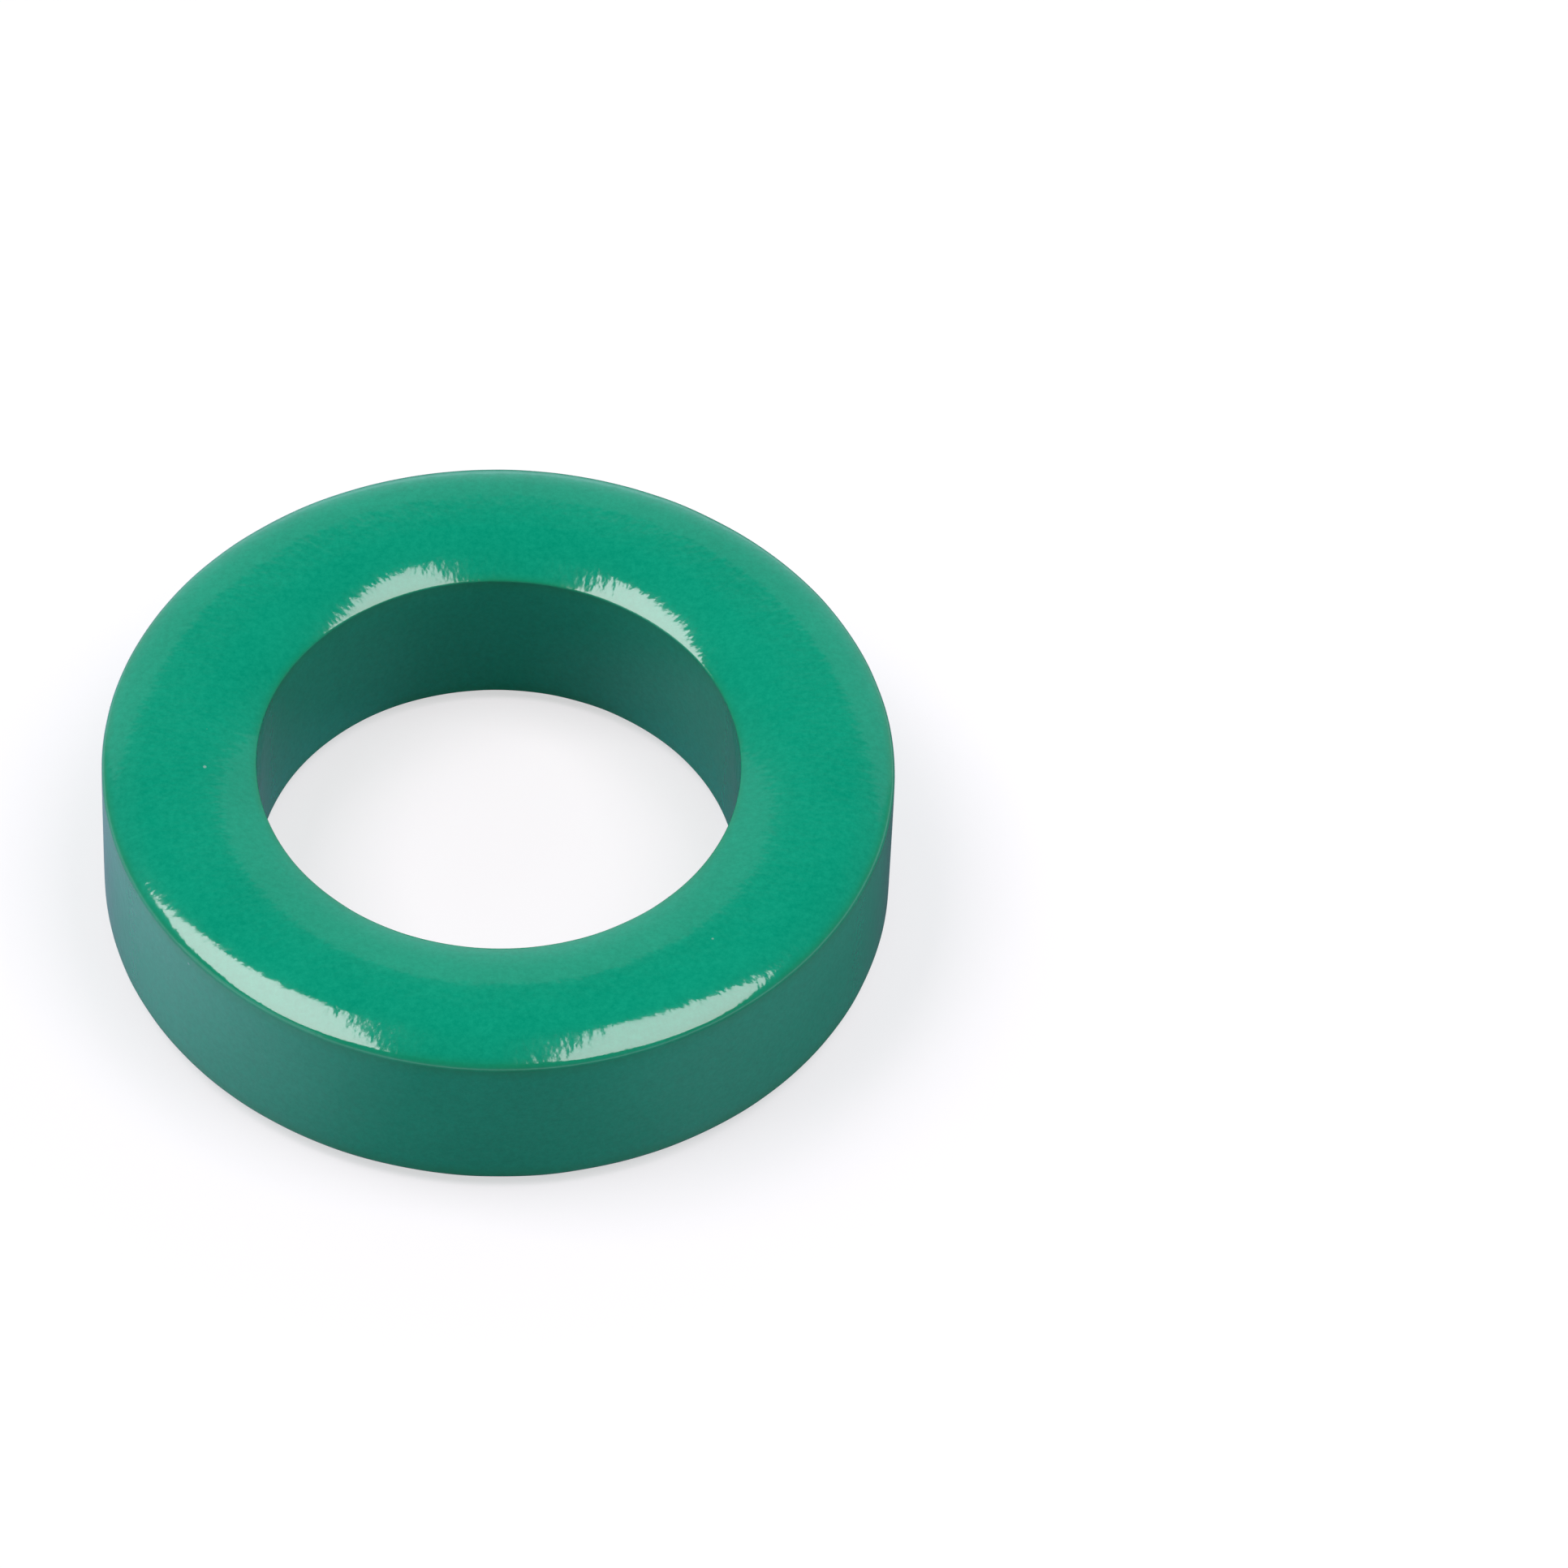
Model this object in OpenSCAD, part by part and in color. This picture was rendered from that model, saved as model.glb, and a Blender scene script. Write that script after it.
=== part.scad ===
// Ferrite toroid core with a thick epoxy coat: one pressed and sintered ring.
// The ring lies on its lower land, with the origin at the bottom of its axis.
// Its section has straight walls and crowned faces: a narrow flat land in the middle
// of each face, with a shoulder that falls away in an arc to the outer wall and the bore.
// The coat rounds the edge where each shoulder meets its wall.

/* [Ring] */
// Outer diameter over the coat
outer_d = 31.3; // [28.5:0.1:40]
// Diameter of the bore inside the coat
bore_d = 19; // [12:0.1:22]
// Height from the lower land to the upper land
height = 7.8; // [5:0.1:16]

/* [Crowned faces] */
// Radius of the shoulder arc beside the outer wall
outer_shoulder_r = 3.74; // [3:0.01:6]
// Radial width of the shoulder beside the outer wall
outer_shoulder_w = 1.94; // [1.2:0.01:2.4]
// Radius of the shoulder arc beside the bore
bore_shoulder_r = 6.76; // [5:0.01:12]
// Radial width of the shoulder beside the bore
bore_shoulder_w = 2.68; // [1.6:0.01:3]

/* [Coated edges] */
// Radius of the coat on the outer edges
outer_edge_r = 0.34; // [0.2:0.01:0.7]
// Radius of the coat on the bore edges
bore_edge_r = 0.13; // [0.1:0.01:0.4]

/* [Hidden] */
$fn = 180;
outer_r = outer_d / 2;
bore_r = bore_d / 2;
// How far the arcs reach in behind the straight lines between their ends
lap = 0.02;

// A corner is [wall, side, shoulder_r, shoulder_w, edge_r]:
// the wall's radius, 1 outside or -1 at the bore, and the sizes of its two arcs
outer_corner = [outer_r, 1, outer_shoulder_r, outer_shoulder_w, outer_edge_r];
bore_corner = [bore_r, -1, bore_shoulder_r, bore_shoulder_w, bore_edge_r];
function wall(corner) = corner[0];
function side(corner) = corner[1];
function shoulder_r(corner) = corner[2];
function shoulder_w(corner) = corner[3];
function edge_r(corner) = corner[4];

// Where the level land ends and the shoulder begins
function land_end(corner) = [wall(corner) - side(corner) * shoulder_w(corner), height];

// The shoulder's centre, straight below the end of the land, so that the two run on smoothly
function shoulder_centre(corner) = land_end(corner) - [0, shoulder_r(corner)];

// The edge round's centre: the round touches the wall and, from inside, the shoulder
function edge_centre(corner) =
    let (
        reach = shoulder_r(corner) - edge_r(corner),
        across = shoulder_w(corner) - edge_r(corner),
        rise = sqrt(reach * reach - across * across)
    )
    shoulder_centre(corner) + [side(corner) * across, rise];

// Where the shoulder runs over into the edge round
function edge_top(corner) =
    let (
        centre = shoulder_centre(corner),
        towards = edge_centre(corner) - centre
    )
    centre + towards * shoulder_r(corner) / norm(towards);

// Where the edge round runs over into the wall
function edge_foot(corner) = [wall(corner), edge_centre(corner).y];

// The part of a disc beyond the line from start to end, two points of its rim,
// with a narrow strip behind that line that laps the straight-sided outline
module rim_segment(centre, radius, start, end, side) {
    along = (end - start) / norm(end - start);
    outward = side * [along.y, -along.x];
    intersection() {
        translate(centre) circle(r = radius);
        polygon([
            start - lap * outward,
            start,
            start + radius * outward,
            end + radius * outward,
            end,
            end - lap * outward
        ]);
    }
}

// The edge round and the shoulder of one upper corner
module corner_arcs(corner) {
    foot = edge_foot(corner);
    top = edge_top(corner);
    rim_segment(edge_centre(corner), edge_r(corner), foot, top, side(corner));
    rim_segment(shoulder_centre(corner), shoulder_r(corner), top, land_end(corner), side(corner));
}

// Both upper corners
module upper_arcs() {
    corner_arcs(outer_corner);
    corner_arcs(bore_corner);
}

// The section with straight lines between the ends of its arcs
module straight_outline() {
    upper = [
        edge_foot(outer_corner),
        edge_top(outer_corner),
        land_end(outer_corner),
        land_end(bore_corner),
        edge_top(bore_corner),
        edge_foot(bore_corner)
    ];
    lower = [for (i = [len(upper) - 1 : -1 : 0]) [upper[i].x, height - upper[i].y]];
    polygon(concat(upper, lower));
}

// The whole section: the lower face is the upper one turned over
module section() {
    straight_outline();
    upper_arcs();
    translate([0, height]) mirror([0, 1]) upper_arcs();
}

// The ring, turned about its axis
module toroid_core() {
    color([0.04, 0.57, 0.43]) rotate_extrude() section();
}

toroid_core();
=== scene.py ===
"""The looks of the ferrite toroid core: one ring with a glossy green coat, on a pale floor.

Lengths are in metres unless a name ends in _MM or _mm. The section and its swells are worked out
in millimetres.
"""

import math

import bpy
from mathutils import Matrix, Vector, noise


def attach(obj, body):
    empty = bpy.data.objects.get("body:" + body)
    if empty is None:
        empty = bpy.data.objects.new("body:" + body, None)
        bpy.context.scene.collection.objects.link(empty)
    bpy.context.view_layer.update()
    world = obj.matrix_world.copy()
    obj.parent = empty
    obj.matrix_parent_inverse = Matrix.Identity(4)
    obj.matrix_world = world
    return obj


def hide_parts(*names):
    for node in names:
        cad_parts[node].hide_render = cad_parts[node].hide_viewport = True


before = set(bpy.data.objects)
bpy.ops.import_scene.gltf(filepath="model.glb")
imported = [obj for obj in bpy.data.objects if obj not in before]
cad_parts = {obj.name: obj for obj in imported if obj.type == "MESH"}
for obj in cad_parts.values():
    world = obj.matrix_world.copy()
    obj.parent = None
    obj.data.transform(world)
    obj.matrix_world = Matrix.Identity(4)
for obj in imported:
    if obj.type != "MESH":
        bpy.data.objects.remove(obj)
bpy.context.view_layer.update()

MM = 0.001

# The ring's section, as the solid has it
OUTER_R_MM, BORE_R_MM, HEIGHT_MM = 15.65, 9.5, 7.8
OUTER_SHOULDER_MM = {"r": 3.74, "w": 1.94, "edge": 0.34}
BORE_SHOULDER_MM = {"r": 6.76, "w": 2.68, "edge": 0.13}

# Steps of the visual mesh: columns round the ring, and steps along each stretch of the section
COLUMNS = 600
WALL_STEPS, EDGE_STEPS, OUTER_STEPS, LAND_STEPS, BORE_STEPS = 13, 8, 15, 8, 18
# A power above 1 makes a shoulder's steps shorter beside its edge, where the bend changes
STEPS_POWER = 1.5
# The thin coat over an edge fades in so many steps up the shoulder, and over this reach down the
# wall
THIN_STEPS, THIN_REACH_MM = 4, 0.5

# The coat's surface lies at least this far inside the solid's
INSET_MM = 0.004
# [wavelength, depth] of the swells in the coat: the long one of dipping, the short one of the peel
SWELLS_MM = [(6.0, 0.012), (1.7, 0.0035)]
# The same for the coat that draws back from the edges
EDGE_SWELL_MM = (2.6, 0.02)
# The land isn't quite flat: [radius of its middle, reach of its crown, depth of the crown]
LAND_CROWN_MM = (12.945, 1.0, 0.016)
# How far the noise's own coordinates go on over one wavelength
NOISE_WAVE = 1.6
NOISE_SEED = Vector((3.1, 7.7, 1.9))

# The camera of the photograph, fitted to the ring's outlines
CAMERA_AT_MM = Vector((11.26, -257.61, 306.37))
CAMERA_LOOKS = Vector((0.0, 0.65188, -0.75832))
CAMERA_UP = Vector((-0.04784, 0.75745, 0.65114))
LENS_MM, SENSOR_MM = 230.19, 36.0

# Tints: of the two panels, and of the cards and the surroundings
WARM, COOL = (1.0, 0.90, 0.95), (0.86, 1.0, 1.18)
# Two soft panels overhead that lean in towards the ring, and two dim cards: one low on the left
# and one behind the ring. Turns are in degrees, and a radiance of 1 is that of white.
PANELS = {
    "left_panel": {
        "at": (-0.227, -0.053, 0.450), "turn": (-36.9, -35.4, 6.9),
        "size": (0.234, 0.400), "radiance": 5.6, "tint": WARM,
    },
    "right_panel": {
        "at": (0.216, -0.020, 0.450), "turn": (38.1, -12.4, -10.3),
        "size": (0.332, 0.362), "radiance": 4.5, "tint": WARM,
    },
    "left_card": {
        "at": (-0.325, -0.187, 0.125), "turn": (90.0, 0.0, -60.0),
        "size": (0.28, 0.25), "radiance": 0.42, "tint": COOL,
    },
    "back_card": {
        "at": (0.0, 0.300, 0.154), "turn": (-90.0, 0.0, 0.0),
        "size": (0.69, 0.306), "radiance": 0.20, "tint": COOL,
    },
}

# The surroundings at heights above the horizon, given as the sine of the elevation: as the coat
# mirrors them behind the ring and on the camera's side
MIRRORED_BEHIND = [
    (0.0, 1.0), (0.03, 0.58), (0.10, 0.41), (0.26, 0.24), (0.45, 0.11), (0.73, 0.06), (0.78, 0.008)
]
MIRRORED_AHEAD = [(0.0, 0.85), (0.12, 0.35), (0.35, 0.12), (0.60, 0.06), (0.80, 0.012)]
# The same as they light the ring: behind it, on both sides and on the camera's side
FILL_BEHIND = [(0.0, 0.80), (0.55, 0.70), (0.70, 0.14), (1.0, 0.10)]
FILL_SIDES = [(0.0, 1.00), (0.55, 1.00), (0.72, 0.14), (1.0, 0.10)]
FILL_AHEAD = [(0.0, 0.25), (0.50, 0.20), (0.60, 0.12), (1.0, 0.10)]
# Where they run over into each other on the unit sphere: along Y to what is mirrored behind,
# along Y to the fill on the camera's side, and along X to the fill on both sides
BEHIND_ENDS, AHEAD_ENDS, SIDES_ENDS = (0.2, 0.6), (-0.7, -0.1), (0.3, 0.9)

# The floor: its grey for rays that see it directly and the light that lifts that to white
FLOOR_SEEN, FLOOR_LIFT = 0.38, 0.60
# Its greys inside the ring's bore, around the ring and left of it: as it lights the ring, and as
# the coat mirrors it. In the bore they go from its left side over the middle to its right side:
# the dark middle is painted shade of the ring, and the brighter sides are painted light.
# The higher greys left of the ring are painted light, where the left panel lights the floor.
FLOOR_BOUNCE_PAINTED_SHADE_AND_LIGHT = {
    "bore": [(0.0, 0.95), (0.16, 0.80), (0.32, 0.08), (0.65, 0.08), (0.84, 0.75), (1.0, 0.95)],
    "around": 0.34, "left": 0.54,
}
FLOOR_MIRRORED_PAINTED_SHADE_AND_LIGHT = {
    "bore": [(0.04, 0.28), (0.14, 0.23), (0.27, 0.12), (0.50, 0.07), (0.66, 0.17), (1.0, 0.20)],
    "around": 0.10, "left": 0.38,
}
# Distances from the axis between which the bore's greys, with their painted shade and light, run
# over into those around the ring, and places along X between which the painted light on the left
# runs over into these
FLOOR_AROUND_ENDS, FLOOR_LEFT_ENDS = (0.009, 0.0165), (-0.018, -0.004)
# Tints of the floor's greys, and of those by which it lights the bore
FLOOR_TINT, BORE_TINT = (0.83, 1.0, 1.26), (0.86, 1.0, 1.85)
# Its grey for blurred reflections of the lights, inside the bore and outside; the lower one
# inside the bore is painted shade
FLOOR_SATIN, FLOOR_SATIN_ROUGHNESS = (0.03, 0.10), 0.42
# How bright it is mirrored where it has run over into the backdrop
FLOOR_FAR = 0.85
# Distances from the axis at which the floor begins and ends to run over into the backdrop
FLOOR_FADES = (0.035, 0.100)
FLOOR_HALF = 3.0
FLOOR_Z = -0.00001

# The coat's green, deeper where it is thick and duller where it is thin, over an edge
GREEN = (0.0056, 0.340, 0.190, 1.0)
GREEN_DEEP = (0.0, 0.264, 0.1425, 1.0)
GREEN_THIN = (0.0100, 0.230, 0.095, 1.0)
COAT_IOR, COAT_ROUGHNESS = 1.75, (0.075, 0.115)
# The coat's depth is the sum of two noises. Of each: its scale per mm, detail and roughness, the
# values between which it counts, and its share.
CLOUD, CLOUD_ENDS, CLOUD_SHARE = (0.22, 3.0, 0.5), (0.3, 0.7), 0.30
MOTTLE, MOTTLE_ENDS, MOTTLE_SHARE = (4.2, 3.0, 0.85), (0.33, 0.67), 0.70
# The mesh's thin_coat from which the coat shows as thin, and how much it does so over an edge
# where the cloud is 0 and where it is 1
THIN_FROM, THIN_MOST = 0.3, (0.30, 0.70)
# Scale per mm and detail of the noise that the roughness follows, and the values that count
SHEEN, SHEEN_ENDS = (0.5, 4.0), (0.3, 0.7)
# [noise scale per mm, share of the bump] of the orange peel, and of its part that is drawn out
# across the ring by so many times
PEEL = [(1.2, 0.33), (6.5, 0.12)]
DRAWN_PEEL, DRAWN_OUT = (3.2, 0.50), 1.5
PEEL_DETAIL = 1.0
PEEL_HEIGHT_MM = 0.0155
# A few pale specks, one to a cell: the cells per mm, the share of them that stays empty, the
# radii between which a speck fades, in cells, and its share of the bump
SPECK = (0.20, 0.42, 0.33, 1.0)
SPECK_CELLS, SPECK_EMPTY, SPECK_FADE, SPECK_BUMP = 0.45, 0.80, (0.022, 0.036), 0.3


def profile_point(centre, radius, side, angle):
    """A point of an arc of the section and its normal; angle 0 is straight up."""
    normal = Vector((side * math.sin(angle), math.cos(angle)))
    return centre + radius * normal, normal


def corner_profile(wall, side, sizes, shoulder_steps):
    """Points, normals and edge shares from the foot of the edge round up to the land."""
    r, w, edge = sizes["r"], sizes["w"], sizes["edge"]
    shoulder_centre = Vector((wall - side * w, HEIGHT_MM - r))
    slope = math.asin((w - edge) / (r - edge))
    edge_centre = shoulder_centre + (r - edge) * Vector((side * math.sin(slope), math.cos(slope)))
    points = []
    for i in range(EDGE_STEPS + 1):
        angle = math.pi / 2 + (slope - math.pi / 2) * i / EDGE_STEPS
        points.append((*profile_point(edge_centre, edge, side, angle), 1.0))
    for i in range(1, shoulder_steps + 1):
        angle = slope * (1 - (i / shoulder_steps) ** STEPS_POWER)
        edge_share = math.exp(-i / THIN_STEPS)
        points.append((*profile_point(shoulder_centre, r, side, angle), edge_share))
    return points


def wall_profile(wall, side, top):
    """Points of a wall from mid height up to the foot of its edge round, without that foot."""
    middle = HEIGHT_MM / 2
    points = []
    for i in range(WALL_STEPS):
        z = middle + (top - middle) * math.sin(math.pi / 2 * i / WALL_STEPS)
        edge_share = math.exp((z - top) / THIN_REACH_MM)
        points.append((Vector((wall, z)), Vector((side, 0.0)), edge_share))
    return points


def upper_profile():
    """The upper half of the section, from the outer wall's middle to the bore wall's middle."""
    outer = corner_profile(OUTER_R_MM, 1, OUTER_SHOULDER_MM, OUTER_STEPS)
    bore = corner_profile(BORE_R_MM, -1, BORE_SHOULDER_MM, BORE_STEPS)
    land_from, land_to = outer[-1][0], bore[-1][0]
    land = [
        (land_from.lerp(land_to, i / LAND_STEPS), Vector((0.0, 1.0)), 0.0)
        for i in range(1, LAND_STEPS)
    ]
    outer_wall = wall_profile(OUTER_R_MM, 1, outer[0][0].y)
    bore_wall = wall_profile(BORE_R_MM, -1, bore[0][0].y)
    return outer_wall + outer + land + bore[::-1] + bore_wall[::-1]


def whole_profile():
    """The closed section: the lower half is the upper one turned over, without its end points."""
    upper = upper_profile()
    lower = [
        (Vector((p.x, HEIGHT_MM - p.y)), Vector((n.x, -n.y)), edge_share)
        for p, n, edge_share in upper[-2:0:-1]
    ]
    return upper + lower


def swell(place, edge_share):
    """How far the coat's surface lies inside the solid's at a place of the ring."""
    depth = INSET_MM
    for wavelength, most in SWELLS_MM:
        depth += most * (0.5 + 0.5 * noise.noise(place / wavelength * NOISE_WAVE + NOISE_SEED))
    middle, reach, most = LAND_CROWN_MM
    depth += most * (1 - math.exp(-(((place.xy.length - middle) / reach) ** 2)))
    wavelength, most = EDGE_SWELL_MM
    lift = 0.5 + 0.5 * noise.noise(place / wavelength * NOISE_WAVE - NOISE_SEED)
    return depth + most * edge_share * lift


def coated_ring():
    """The ring's mesh: the section turned about the axis, with the swells of the coat."""
    profile = whole_profile()
    rows = len(profile)
    places = []
    for column in range(COLUMNS):
        turn = 2 * math.pi * column / COLUMNS
        across = Vector((math.cos(turn), math.sin(turn), 0.0))
        for point, normal, edge_share in profile:
            place = across * point.x + Vector((0.0, 0.0, point.y))
            outward = across * normal.x + Vector((0.0, 0.0, normal.y))
            places.append((place - outward * swell(place, edge_share)) * MM)
    faces = []
    for column in range(COLUMNS):
        here, there = column * rows, (column + 1) % COLUMNS * rows
        for row in range(rows):
            after = (row + 1) % rows
            faces.append((here + row, there + row, there + after, here + after))
    mesh = bpy.data.meshes.new("coated_ring")
    mesh.from_pydata(places, [], faces)
    mesh.update()
    mesh.shade_smooth()
    thin = mesh.attributes.new("thin_coat", "FLOAT", "POINT")
    thin.data.foreach_set("value", [edge_share for _, _, edge_share in profile] * COLUMNS)
    ring = bpy.data.objects.new("coated_ring", mesh)
    bpy.context.collection.objects.link(ring)
    return ring


def grey(level, tint=(1.0, 1.0, 1.0)):
    return (*(level * part for part in tint), 1.0)


class Nodes:
    """Makes nodes in one tree and links them in the order they are used."""

    def __init__(self, tree):
        self.tree = tree
        tree.nodes.clear()

    def add(self, kind, inputs=None, **settings):
        node = self.tree.nodes.new(kind)
        for name, value in settings.items():
            setattr(node, name, value)
        for name, value in (inputs or {}).items():
            self.put(node.inputs[name], value)
        return node

    def put(self, socket, value):
        if isinstance(value, bpy.types.NodeSocket):
            self.tree.links.new(value, socket)
        else:
            socket.default_value = value

    def math(self, operation, a, b=0.0):
        node = self.add("ShaderNodeMath", {0: a, 1: b}, operation=operation)
        return node.outputs["Value"]

    def vector(self, operation, inputs):
        node = self.add("ShaderNodeVectorMath", inputs, operation=operation)
        return node.outputs["Vector"]

    def noise(self, place, scale, detail, roughness=0.5):
        inputs = {"Vector": place, "Scale": scale, "Detail": detail, "Roughness": roughness}
        return self.add("ShaderNodeTexNoise", inputs).outputs["Fac"]

    def spread(self, value, ends, to_ends=(0.0, 1.0)):
        """Maps what lies between two ends to between two others, and goes no further."""
        inputs = {
            "Value": value, "From Min": ends[0], "From Max": ends[1],
            "To Min": to_ends[0], "To Max": to_ends[1],
        }
        return self.add("ShaderNodeMapRange", inputs).outputs["Result"]

    def mix(self, share, a, b):
        # Sockets 6 and 7 and output 2 are the ones for colours
        node = self.add("ShaderNodeMix", {0: share}, data_type="RGBA")
        self.put(node.inputs[6], a)
        self.put(node.inputs[7], b)
        return node.outputs[2]

    def ramp(self, place, levels, tint):
        """A tinted grey by place, from pairs of place and level."""
        node = self.add("ShaderNodeValToRGB", {"Fac": place})
        stops = node.color_ramp.elements
        while len(stops) < len(levels):
            stops.new(1.0)
        for stop, (position, level) in zip(stops, levels):
            stop.position = position
            stop.color = grey(level, tint)
        return node.outputs["Color"]

    def glow(self, colour, strength):
        inputs = {"Color": colour, "Strength": strength}
        return self.add("ShaderNodeEmission", inputs).outputs["Emission"]

    def rays(self):
        """Whether a ray sees this directly or through something clear, and whether mirrored."""
        ray = self.add("ShaderNodeLightPath").outputs
        seen = self.math("MAXIMUM", ray["Is Camera Ray"], ray["Is Transmission Ray"])
        return seen, ray["Is Glossy Ray"]


def drawn_out(nodes, place_mm):
    """Places for a noise that runs DRAWN_OUT times as long across the ring as round it."""
    flat = nodes.vector("MULTIPLY", {0: place_mm, 1: (1.0, 1.0, 0.0)})
    outward = nodes.vector("NORMALIZE", {0: flat})
    mean_r = (OUTER_R_MM + BORE_R_MM) / 2
    share = 1 / DRAWN_OUT
    rim = nodes.vector("SCALE", {0: outward, "Scale": mean_r * (1 - share)})
    part = nodes.vector("SCALE", {0: place_mm, "Scale": share})
    return nodes.vector("ADD", {0: rim, 1: part})


def coat_green(nodes, place_mm):
    """The green by the coat's depth, which follows clouds, a mottling and the ring's edges."""
    cloud = nodes.spread(nodes.noise(place_mm, *CLOUD), CLOUD_ENDS)
    mottle = nodes.spread(nodes.noise(place_mm, *MOTTLE), MOTTLE_ENDS)
    clouds = nodes.math("MULTIPLY", cloud, CLOUD_SHARE)
    depth = nodes.math("ADD", clouds, nodes.math("MULTIPLY", mottle, MOTTLE_SHARE))
    green = nodes.mix(depth, GREEN, GREEN_DEEP)
    edge = nodes.add("ShaderNodeAttribute", attribute_name="thin_coat").outputs["Fac"]
    edge = nodes.spread(edge, (THIN_FROM, 1.0))
    thin = nodes.math("MULTIPLY", edge, nodes.spread(cloud, (0.0, 1.0), THIN_MOST))
    return nodes.mix(thin, green, GREEN_THIN)


def coat_speck(nodes, place_mm):
    """1 on a few small round specks and 0 elsewhere."""
    cells = nodes.add("ShaderNodeTexVoronoi", {"Vector": place_mm, "Scale": SPECK_CELLS}).outputs
    chance = nodes.add("ShaderNodeSeparateColor", {"Color": cells["Color"]}).outputs["Red"]
    rare = nodes.math("GREATER_THAN", chance, SPECK_EMPTY)
    near = nodes.spread(cells["Distance"], SPECK_FADE, (1.0, 0.0))
    return nodes.math("MULTIPLY", rare, near)


def coat_bump(nodes, place_mm, speck):
    """The normal of the orange peel and the specks."""
    scale, share = DRAWN_PEEL
    peel = nodes.noise(drawn_out(nodes, place_mm), scale, PEEL_DETAIL)
    height = nodes.math("MULTIPLY", peel, share)
    for scale, share in PEEL:
        part = nodes.math("MULTIPLY", nodes.noise(place_mm, scale, PEEL_DETAIL), share)
        height = nodes.math("ADD", height, part)
    height = nodes.math("ADD", height, nodes.math("MULTIPLY", speck, SPECK_BUMP))
    inputs = {"Height": height, "Strength": 1.0, "Distance": PEEL_HEIGHT_MM * MM}
    return nodes.add("ShaderNodeBump", inputs).outputs["Normal"]


def coat_material():
    material = bpy.data.materials.new("glossy_green_coat")
    material.use_nodes = True
    nodes = Nodes(material.node_tree)
    place = nodes.add("ShaderNodeTexCoord").outputs["Object"]
    place_mm = nodes.vector("MULTIPLY", {0: place, 1: (1 / MM, 1 / MM, 1 / MM)})
    green = coat_green(nodes, place_mm)
    speck = coat_speck(nodes, place_mm)
    colour = nodes.mix(speck, green, SPECK)
    bump = coat_bump(nodes, place_mm, speck)
    sheen = nodes.spread(nodes.noise(place_mm, *SHEEN), SHEEN_ENDS, COAT_ROUGHNESS)
    inputs = {"Base Color": colour, "Roughness": sheen, "IOR": COAT_IOR, "Normal": bump}
    shader = nodes.add("ShaderNodeBsdfPrincipled", inputs)
    nodes.add("ShaderNodeOutputMaterial", {"Surface": shader.outputs["BSDF"]})
    return material


def floor_material():
    """A satin grey floor, lifted to white for the rays that see it directly, shadows and all.
    For the other rays it has painted shade and light in the ring's bore and painted light left of
    it.
    """
    material = bpy.data.materials.new("floor")
    material.use_nodes = True
    nodes = Nodes(material.node_tree)
    place = nodes.add("ShaderNodeTexCoord").outputs["Object"]
    distance = nodes.add("ShaderNodeVectorMath", {0: place}, operation="LENGTH").outputs["Value"]
    x = nodes.add("ShaderNodeSeparateXYZ", {"Vector": place}).outputs["X"]
    outside = nodes.spread(distance, FLOOR_AROUND_ENDS)
    # Where the painted light left of the ring, and the painted shade and light across the bore, lie
    left = nodes.spread(x, FLOOR_LEFT_ENDS, (1.0, 0.0))
    in_bore = nodes.spread(x, (-BORE_R_MM * MM, BORE_R_MM * MM))
    seen, glossy = nodes.rays()

    # The floor's greys by place: painted shade and light in the bore, painted light left of the
    # ring
    def painted_greys_by_place(greys, bore_tint):
        bore = nodes.ramp(in_bore, greys["bore"], bore_tint)
        around = nodes.mix(left, grey(greys["around"], FLOOR_TINT), grey(greys["left"], FLOOR_TINT))
        return nodes.mix(outside, bore, around)

    bounce = painted_greys_by_place(FLOOR_BOUNCE_PAINTED_SHADE_AND_LIGHT, BORE_TINT)
    mirrored = painted_greys_by_place(FLOOR_MIRRORED_PAINTED_SHADE_AND_LIGHT, FLOOR_TINT)
    lit = nodes.mix(glossy, bounce, mirrored)
    matt = nodes.add("ShaderNodeBsdfDiffuse", {"Color": lit}).outputs["BSDF"]
    # The satin's lower grey inside the bore is painted shade
    satin = nodes.add("ShaderNodeBsdfAnisotropic", {
        "Color": nodes.mix(outside, *(grey(level, FLOOR_TINT) for level in FLOOR_SATIN)),
        "Roughness": FLOOR_SATIN_ROUGHNESS,
    }).outputs["BSDF"]
    unseen = nodes.add("ShaderNodeAddShader", {0: matt, 1: satin}).outputs["Shader"]
    body = nodes.add("ShaderNodeBsdfDiffuse", {"Color": grey(FLOOR_SEEN)}).outputs["BSDF"]
    lift = nodes.glow(grey(1.0), FLOOR_LIFT)
    white = nodes.add("ShaderNodeAddShader", {0: body, 1: lift}).outputs["Shader"]
    near = nodes.add("ShaderNodeMixShader", {0: seen, 1: unseen, 2: white}).outputs["Shader"]

    _, fill_level = FILL_BEHIND[0]
    far_grey = nodes.mix(glossy, grey(fill_level, COOL), grey(FLOOR_FAR, COOL))
    far = nodes.glow(nodes.mix(seen, far_grey, grey(1.0)), 1.0)
    fade = nodes.spread(distance, FLOOR_FADES)
    both = nodes.add("ShaderNodeMixShader", {0: fade, 1: near, 2: far}).outputs["Shader"]
    nodes.add("ShaderNodeOutputMaterial", {"Surface": both})
    return material


def make_floor():
    mesh = bpy.data.meshes.new("floor")
    quarters = ((-1, -1), (1, -1), (1, 1), (-1, 1))
    corners = [(x * FLOOR_HALF, y * FLOOR_HALF, FLOOR_Z) for x, y in quarters]
    mesh.from_pydata(corners, [], [(0, 1, 2, 3)])
    mesh.materials.append(floor_material())
    floor = bpy.data.objects.new("floor", mesh)
    bpy.context.collection.objects.link(floor)


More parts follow.
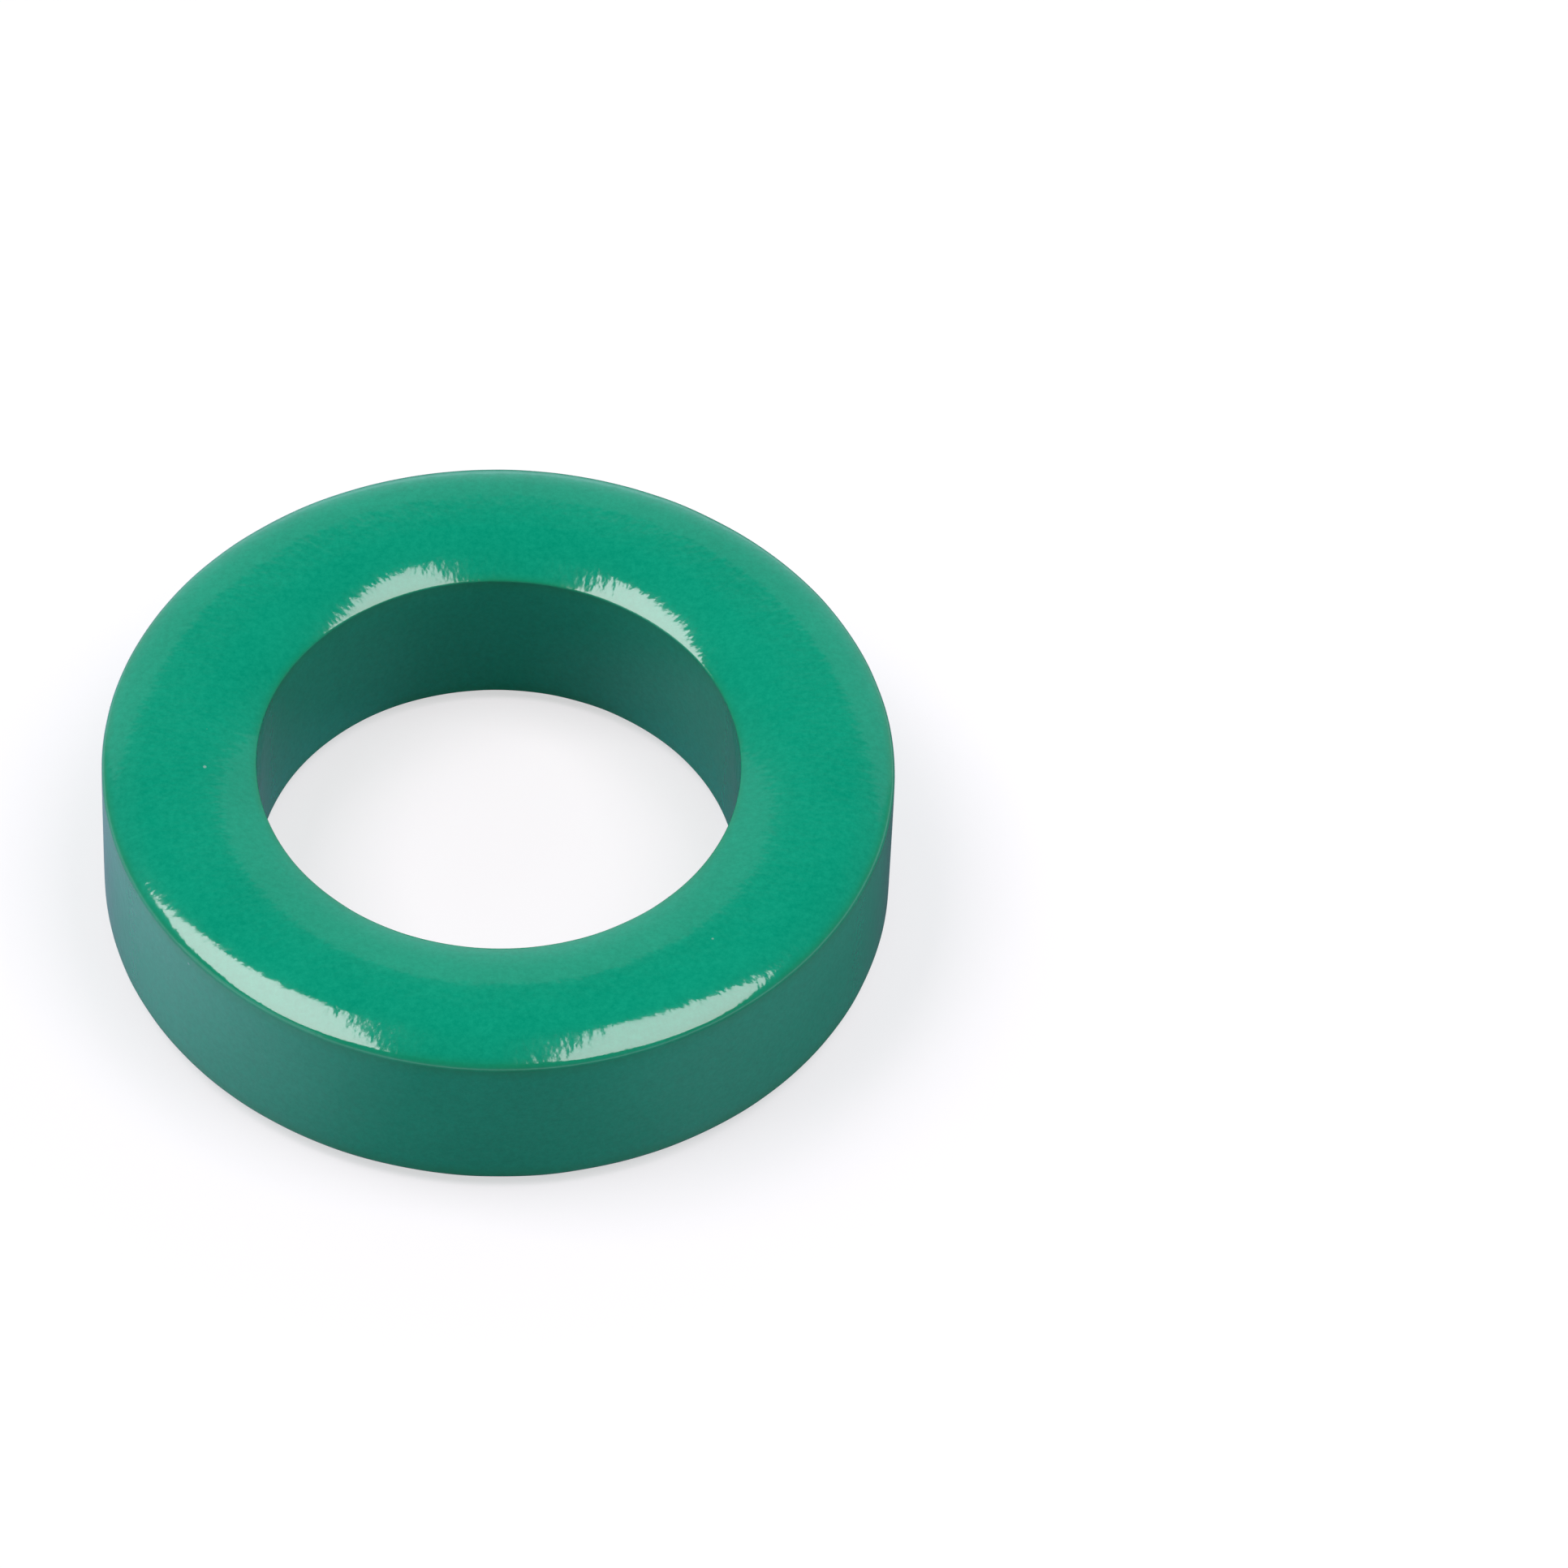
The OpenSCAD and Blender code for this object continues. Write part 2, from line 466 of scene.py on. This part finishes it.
def make_world():
    """A pale backdrop low all round and a dark ceiling; seen directly it is white."""
    world = bpy.data.worlds.new("studio")
    world.use_nodes = True
    nodes = Nodes(world.node_tree)
    direction = nodes.add("ShaderNodeTexCoord").outputs["Generated"]
    parts = nodes.add("ShaderNodeSeparateXYZ", {"Vector": direction}).outputs
    height = parts["Z"]
    seen, glossy = nodes.rays()

    behind = nodes.spread(parts["Y"], BEHIND_ENDS)
    ahead = nodes.spread(parts["Y"], AHEAD_ENDS, (1.0, 0.0))
    aside = nodes.spread(nodes.math("ABSOLUTE", parts["X"]), SIDES_ENDS)
    mirrored = nodes.mix(
        behind, nodes.ramp(height, MIRRORED_AHEAD, COOL), nodes.ramp(height, MIRRORED_BEHIND, COOL)
    )
    fill = nodes.mix(
        aside, nodes.ramp(height, FILL_BEHIND, COOL), nodes.ramp(height, FILL_SIDES, COOL)
    )
    fill = nodes.mix(ahead, fill, nodes.ramp(height, FILL_AHEAD, COOL))
    unseen = nodes.mix(glossy, fill, mirrored)
    colour = nodes.mix(seen, unseen, grey(1.0))
    background = nodes.add("ShaderNodeBackground", {"Color": colour, "Strength": 1.0})
    nodes.add("ShaderNodeOutputWorld", {"Surface": background.outputs["Background"]})
    bpy.context.scene.world = world


def make_panel(name, at, turn, size, radiance, tint):
    """A rectangular soft light that shows only in what it lights and where it is mirrored."""
    light = bpy.data.lights.new(name, "AREA")
    light.shape = "RECTANGLE"
    light.size, light.size_y = size
    light.energy = radiance * math.pi * size[0] * size[1]
    light.color = tint
    panel = bpy.data.objects.new(name, light)
    panel.location = at
    panel.rotation_euler = [math.radians(angle) for angle in turn]
    panel.visible_camera = False
    bpy.context.collection.objects.link(panel)


def make_camera():
    data = bpy.data.cameras.new("camera")
    data.lens, data.sensor_width = LENS_MM, SENSOR_MM
    camera = bpy.data.objects.new("camera", data)
    forward = CAMERA_LOOKS.normalized()
    right = forward.cross(CAMERA_UP).normalized()
    up = right.cross(forward)
    turn = Matrix((right, up, -forward)).transposed().to_4x4()
    camera.matrix_world = Matrix.Translation(CAMERA_AT_MM * MM) @ turn
    bpy.context.collection.objects.link(camera)
    bpy.context.scene.camera = camera


make_camera()
make_floor()
make_world()
for name, panel in PANELS.items():
    make_panel(name, **panel)

ring = coated_ring()
ring.data.materials.append(coat_material())
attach(ring, "root")
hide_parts("toroid_core")

bpy.context.scene.view_settings.view_transform = "Standard"
